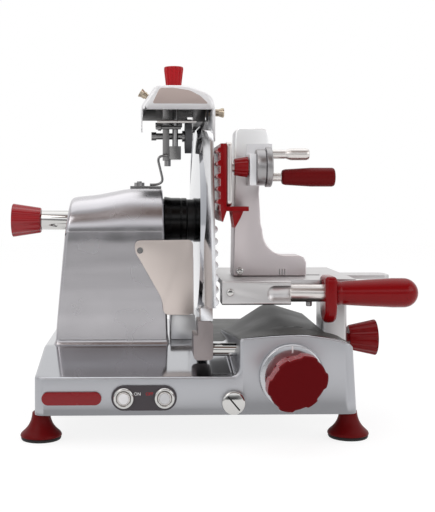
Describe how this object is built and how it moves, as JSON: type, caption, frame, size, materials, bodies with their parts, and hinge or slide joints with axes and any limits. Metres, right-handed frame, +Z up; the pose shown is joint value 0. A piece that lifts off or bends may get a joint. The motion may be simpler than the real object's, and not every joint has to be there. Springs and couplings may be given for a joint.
{
  "type": "electric food slicer",
  "caption": "Upright electric food slicer: round blade beside a sliding carriage with a spiked pusher, thickness knob, top sharpener and motor housing on bell feet.",
  "frame": {"origin": "middle of the overall footprint, on the floor under the feet", "axes": "+X to the operator's right along the blade axis, +Y away from the operator along the carriage travel, +Z up"},
  "size_m": [0.4614, 0.399, 0.419],
  "materials": {
    "cast_aluminium": "satin",
    "polished_aluminium": "polished",
    "polished_steel": "polished",
    "warm_steel": "brushed",
    "dark_steel": "satin",
    "bright_chrome": "polished",
    "red_plastic": "gloss",
    "red_label": "gloss",
    "black_gloss": "gloss",
    "grey_panel": "matte",
    "white_button": "gloss",
    "grey_button": "gloss",
    "black_rubber": "matte",
    "motor_iron": "rough",
    "grit_stone": "rough"
  },
  "bodies": {
    "frame": {"base_casting": "cast_aluminium", "bottom_cover": "dark_steel", "feet": "red_plastic", "foot_pads": "black_rubber", "label_plate": "red_label", "switch_panel": "grey_panel", "button_bezels": "bright_chrome", "switch_body": "black_gloss", "power_inlet": "black_gloss", "rail": "polished_steel", "rail_cap": "bright_chrome", "index_dial": "polished_aluminium", "motor_housing": "cast_aluminium", "motor_stator": "motor_iron", "drive_belt": "black_rubber", "hub_sleeve": "black_gloss", "bearings": "polished_steel", "blade_cover": "polished_aluminium", "blade_guard": "polished_aluminium", "slice_deflector": "warm_steel", "deflector_screws": "dark_steel", "sharpener_frame": "dark_steel", "sharpener_cover": "polished_aluminium", "sharpener_panel": "warm_steel", "latch_wire": "dark_steel", "latch_plate": "dark_steel"},
    "blade_unit": {"blade_spindle": "dark_steel", "blade": "polished_steel", "blade_screws": "dark_steel"},
    "rotor_unit": {"rotor": "motor_iron"},
    "thickness_control": {"thickness_knob": "red_plastic", "cam_spindle": "dark_steel"},
    "gauge": {"gauge_shaft": "bright_chrome", "gauge_block": "cast_aluminium", "gauge_plate": "polished_aluminium"},
    "start_button": {"on_button": "white_button"},
    "stop_button": {"off_button": "grey_button"},
    "tie": {"tie_rod": "bright_chrome", "tie_rod_knob": "red_plastic"},
    "sharpener_screw": {"sharpener_knob": "red_plastic"},
    "grinder": {"grind_spindle": "dark_steel"},
    "grinder_wheel": {"grind_stone": "grit_stone"},
    "left_push": {"left_push_knob": "bright_chrome"},
    "right_push": {"right_push_knob": "bright_chrome"},
    "deburr_wheel": {"deburr_stone": "grit_stone"},
    "carriage": {"trolley": "cast_aluminium", "carriage_arm": "cast_aluminium", "table": "polished_aluminium", "handle_tube": "bright_chrome", "hand_guard": "red_plastic", "grip": "red_plastic"},
    "carriage_lock": {"lock_knob": "red_plastic"},
    "holder": {"column": "cast_aluminium", "clamp_block": "polished_aluminium", "pusher_plate": "red_plastic", "backing_plate": "bright_chrome"},
    "gripper_screw": {"gripper_knob": "red_plastic"},
    "crank": {"crank_disc": "polished_aluminium", "crank_handle": "red_plastic"},
    "lever": {"lever_handle": "bright_chrome"}
  },
  "joints": [
    {"name": "blade_spin", "type": "hinge", "parent": "frame", "child": "blade_unit", "pos_m": [-0.00925, 0.0375, 0.2315], "axis": [1, 0, 0], "continuous": true},
    {"name": "motor_spin", "type": "hinge", "parent": "frame", "child": "rotor_unit", "pos_m": [-0.06625, 0.0375, 0.1395], "axis": [1, 0, 0], "continuous": true},
    {"name": "gauge_slide", "type": "slide", "parent": "frame", "child": "gauge", "axis": [-1, 0, 0], "range_m": [0, 0.014]},
    {"name": "thickness_turn", "type": "hinge", "parent": "frame", "child": "thickness_control", "pos_m": [0.08875, -0.1525, 0.0712], "axis": [0, 1, 0], "range_deg": [0, 300.2]},
    {"name": "start_press", "type": "slide", "parent": "frame", "child": "start_button", "axis": [0, 1, 0], "range_m": [0, 0.0025], "stiffness_N_per_m": 400},
    {"name": "stop_press", "type": "slide", "parent": "frame", "child": "stop_button", "axis": [0, 1, 0], "range_m": [0, 0.0025], "stiffness_N_per_m": 400},
    {"name": "tie_turn", "type": "hinge", "parent": "frame", "child": "tie", "pos_m": [-0.19525, 0.0375, 0.2315], "axis": [1, 0, 0], "range_deg": [0, 720]},
    {"name": "sharpener_screw_turn", "type": "hinge", "parent": "frame", "child": "sharpener_screw", "pos_m": [-0.03125, 0.0125, 0.4035], "axis": [0, 0, 1], "range_deg": [0, 720]},
    {"name": "grind_press", "type": "slide", "parent": "frame", "child": "grinder", "axis": [1, 0, 0], "range_m": [0, 0.002], "stiffness_N_per_m": 500},
    {"name": "grind_spin", "type": "hinge", "parent": "grinder", "child": "grinder_wheel", "pos_m": [-0.01325, 0.0295, 0.3355], "axis": [1, 0, 0], "continuous": true},
    {"name": "left_push_press", "type": "slide", "parent": "frame", "child": "left_push", "axis": [0.8443, 0, -0.5358], "range_m": [0, 0.003]},
    {"name": "right_push_press", "type": "slide", "parent": "frame", "child": "right_push", "axis": [-1, 0, 0], "range_m": [0, 0.0015], "stiffness_N_per_m": 500},
    {"name": "deburr_spin", "type": "hinge", "parent": "right_push", "child": "deburr_wheel", "pos_m": [0.01075, 0.0375, 0.3655], "axis": [1, 0, 0], "continuous": true},
    {"name": "carriage_slide", "type": "slide", "parent": "frame", "child": "carriage", "axis": [0, 1, 0], "range_m": [-0.036, 0.17]},
    {"name": "carriage_lock_turn", "type": "hinge", "parent": "carriage", "child": "carriage_lock", "pos_m": [0.17375, -0.0475, 0.0965], "axis": [1, 0, 0], "range_deg": [-180, 180]},
    {"name": "feed_slide", "type": "slide", "parent": "carriage", "child": "holder", "axis": [1, 0, 0], "range_m": [0, 0.06]},
    {"name": "gripper_screw_turn", "type": "hinge", "parent": "holder", "child": "gripper_screw", "pos_m": [0.03875, -0.1105, 0.2935], "axis": [1, 0, 0], "range_deg": [-180, 180]},
    {"name": "crank_turn", "type": "hinge", "parent": "holder", "child": "crank", "pos_m": [0.06875, -0.1105, 0.2935], "axis": [1, 0, 0], "range_deg": [0, 1081]},
    {"name": "lever_turn", "type": "hinge", "parent": "crank", "child": "lever", "pos_m": [0.08375, -0.1105, 0.3075], "axis": [1, 0, 0], "range_deg": [-90, 90]}
  ],
  "couplings": [
    {"joint": "motor_spin", "follows": "blade_spin", "ratio": 2},
    {"joint": "thickness_turn", "follows": "gauge_slide", "rad_per_m": 374},
    {"joint": "left_push_press", "follows": "grind_press", "ratio": 1.5},
    {"joint": "crank_turn", "follows": "feed_slide", "rad_per_m": 314.16}
  ]
}
